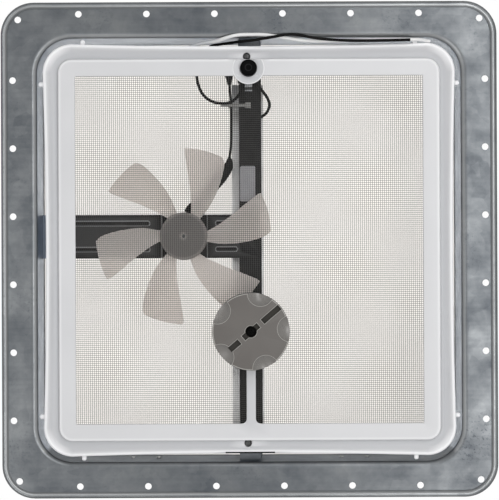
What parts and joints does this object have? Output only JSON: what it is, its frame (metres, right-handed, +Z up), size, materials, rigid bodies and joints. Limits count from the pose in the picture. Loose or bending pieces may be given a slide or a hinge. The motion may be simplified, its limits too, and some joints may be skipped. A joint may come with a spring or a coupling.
{
  "type": "caravan roof vent",
  "caption": "Square caravan roof vent: galvanised flange and neck, crank-lifted dome lid, framed insect screen, push-button extractor fan on a bracket and a finger-grip crank knob.",
  "frame": {"origin": "centre of the flange underside, which lies on the roof", "axes": "+Z up and out of the roof, +Y towards the lid hinges, +X to the right when looking up from inside with the hinges at the bottom"},
  "size_m": [0.419, 0.419, 0.1017],
  "materials": {
    "galvanised_steel": "galvanised, mottled",
    "zinc_plate": "bright zinc plate",
    "black_paint": "satin black paint",
    "white_plastic": "satin white moulding",
    "dome_plastic": "translucent white moulding",
    "fan_plastic": "translucent smoky moulding",
    "knob_plastic": "satin warm grey moulding",
    "black_plastic": "satin black moulding",
    "gear_plastic": "grey moulding",
    "roller_plastic": "white nylon",
    "foam": "closed cell foam",
    "screen_mesh": "fine woven mesh",
    "label": "plain printed film without print",
    "armature": "varnished winding",
    "white_lead": "soft insulation",
    "black_lead": "soft insulation"
  },
  "bodies": {
    "base": {"roof_base": "galvanised_steel", "screen_frame": "white_plastic", "insect_screen": "screen_mesh", "frame_screws": "zinc_plate", "screen_tabs": "zinc_plate", "operator_bar": "black_paint", "bar_screws": "zinc_plate", "rating_label": "label", "gear_housing": "gear_plastic", "housing_screws": "zinc_plate", "arm_pivot_pin": "zinc_plate", "hinge_brackets": "galvanised_steel", "hinge_rivets": "zinc_plate", "hinge_pins": "zinc_plate", "fan_bracket": "black_paint", "bracket_screws": "zinc_plate", "motor_can": "zinc_plate", "motor_cap": "black_plastic", "motor_screws": "zinc_plate", "switch_bracket": "zinc_plate", "switch_rivet": "zinc_plate", "switch_body": "black_plastic", "switch_nut": "zinc_plate", "white_supply_lead": "white_lead", "black_supply_lead": "black_lead", "left_switch_lead": "black_lead", "right_switch_lead": "black_lead", "motor_wire": "black_lead", "motor_sleeve": "black_plastic", "splice_tape": "black_lead", "cable_tie": "roller_plastic"},
    "lid": {"dome_lid": "dome_plastic", "lid_seal": "foam", "lid_track": "galvanised_steel", "track_rivets": "zinc_plate", "hinge_leaves": "galvanised_steel", "leaf_rivets": "zinc_plate"},
    "arm": {"lift_arm": "zinc_plate", "roller_pin": "zinc_plate"},
    "rollers": {"arm_rollers": "roller_plastic"},
    "crank": {"crank_shaft": "zinc_plate", "worm": "zinc_plate", "crank_knob": "knob_plastic", "knob_screw": "black_paint"},
    "fan": {"motor_armature": "armature", "motor_shaft": "zinc_plate", "fan_rotor": "fan_plastic"},
    "button": {"switch_button": "black_plastic"}
  },
  "joints": [
    {"name": "lid_hinge", "type": "hinge", "parent": "base", "child": "lid", "pos_m": [0, 0.2, 0.048], "axis": [-1, 0, 0], "range_deg": [0, 55]},
    {"name": "arm_swing", "type": "hinge", "parent": "base", "child": "arm", "pos_m": [0.001, 0.049, 0.048], "axis": [-1, 0, 0], "range_deg": [0, 110]},
    {"name": "crank_turn", "type": "hinge", "parent": "base", "child": "crank", "pos_m": [0.001, 0.0685, 0], "axis": [0, 0, -1], "range_deg": [0, 2640]},
    {"name": "roller_spin", "type": "hinge", "parent": "arm", "child": "rollers", "pos_m": [0.001, -0.10008, 0.072], "axis": [1, 0, 0], "continuous": true},
    {"name": "fan_spin", "type": "hinge", "parent": "base", "child": "fan", "pos_m": [-0.0564, -0.0119, 0.03], "axis": [0, 0, 1], "continuous": true},
    {"name": "switch_push", "type": "slide", "parent": "base", "child": "button", "axis": [0, 0, 1], "range_m": [0, 0.0025], "stiffness_N_per_m": 800, "springref_m": -0.001}
  ],
  "couplings": [
    {"joint": "arm_swing", "follows": "lid_hinge", "ratio": 2},
    {"joint": "crank_turn", "follows": "lid_hinge", "ratio": 48}
  ]
}
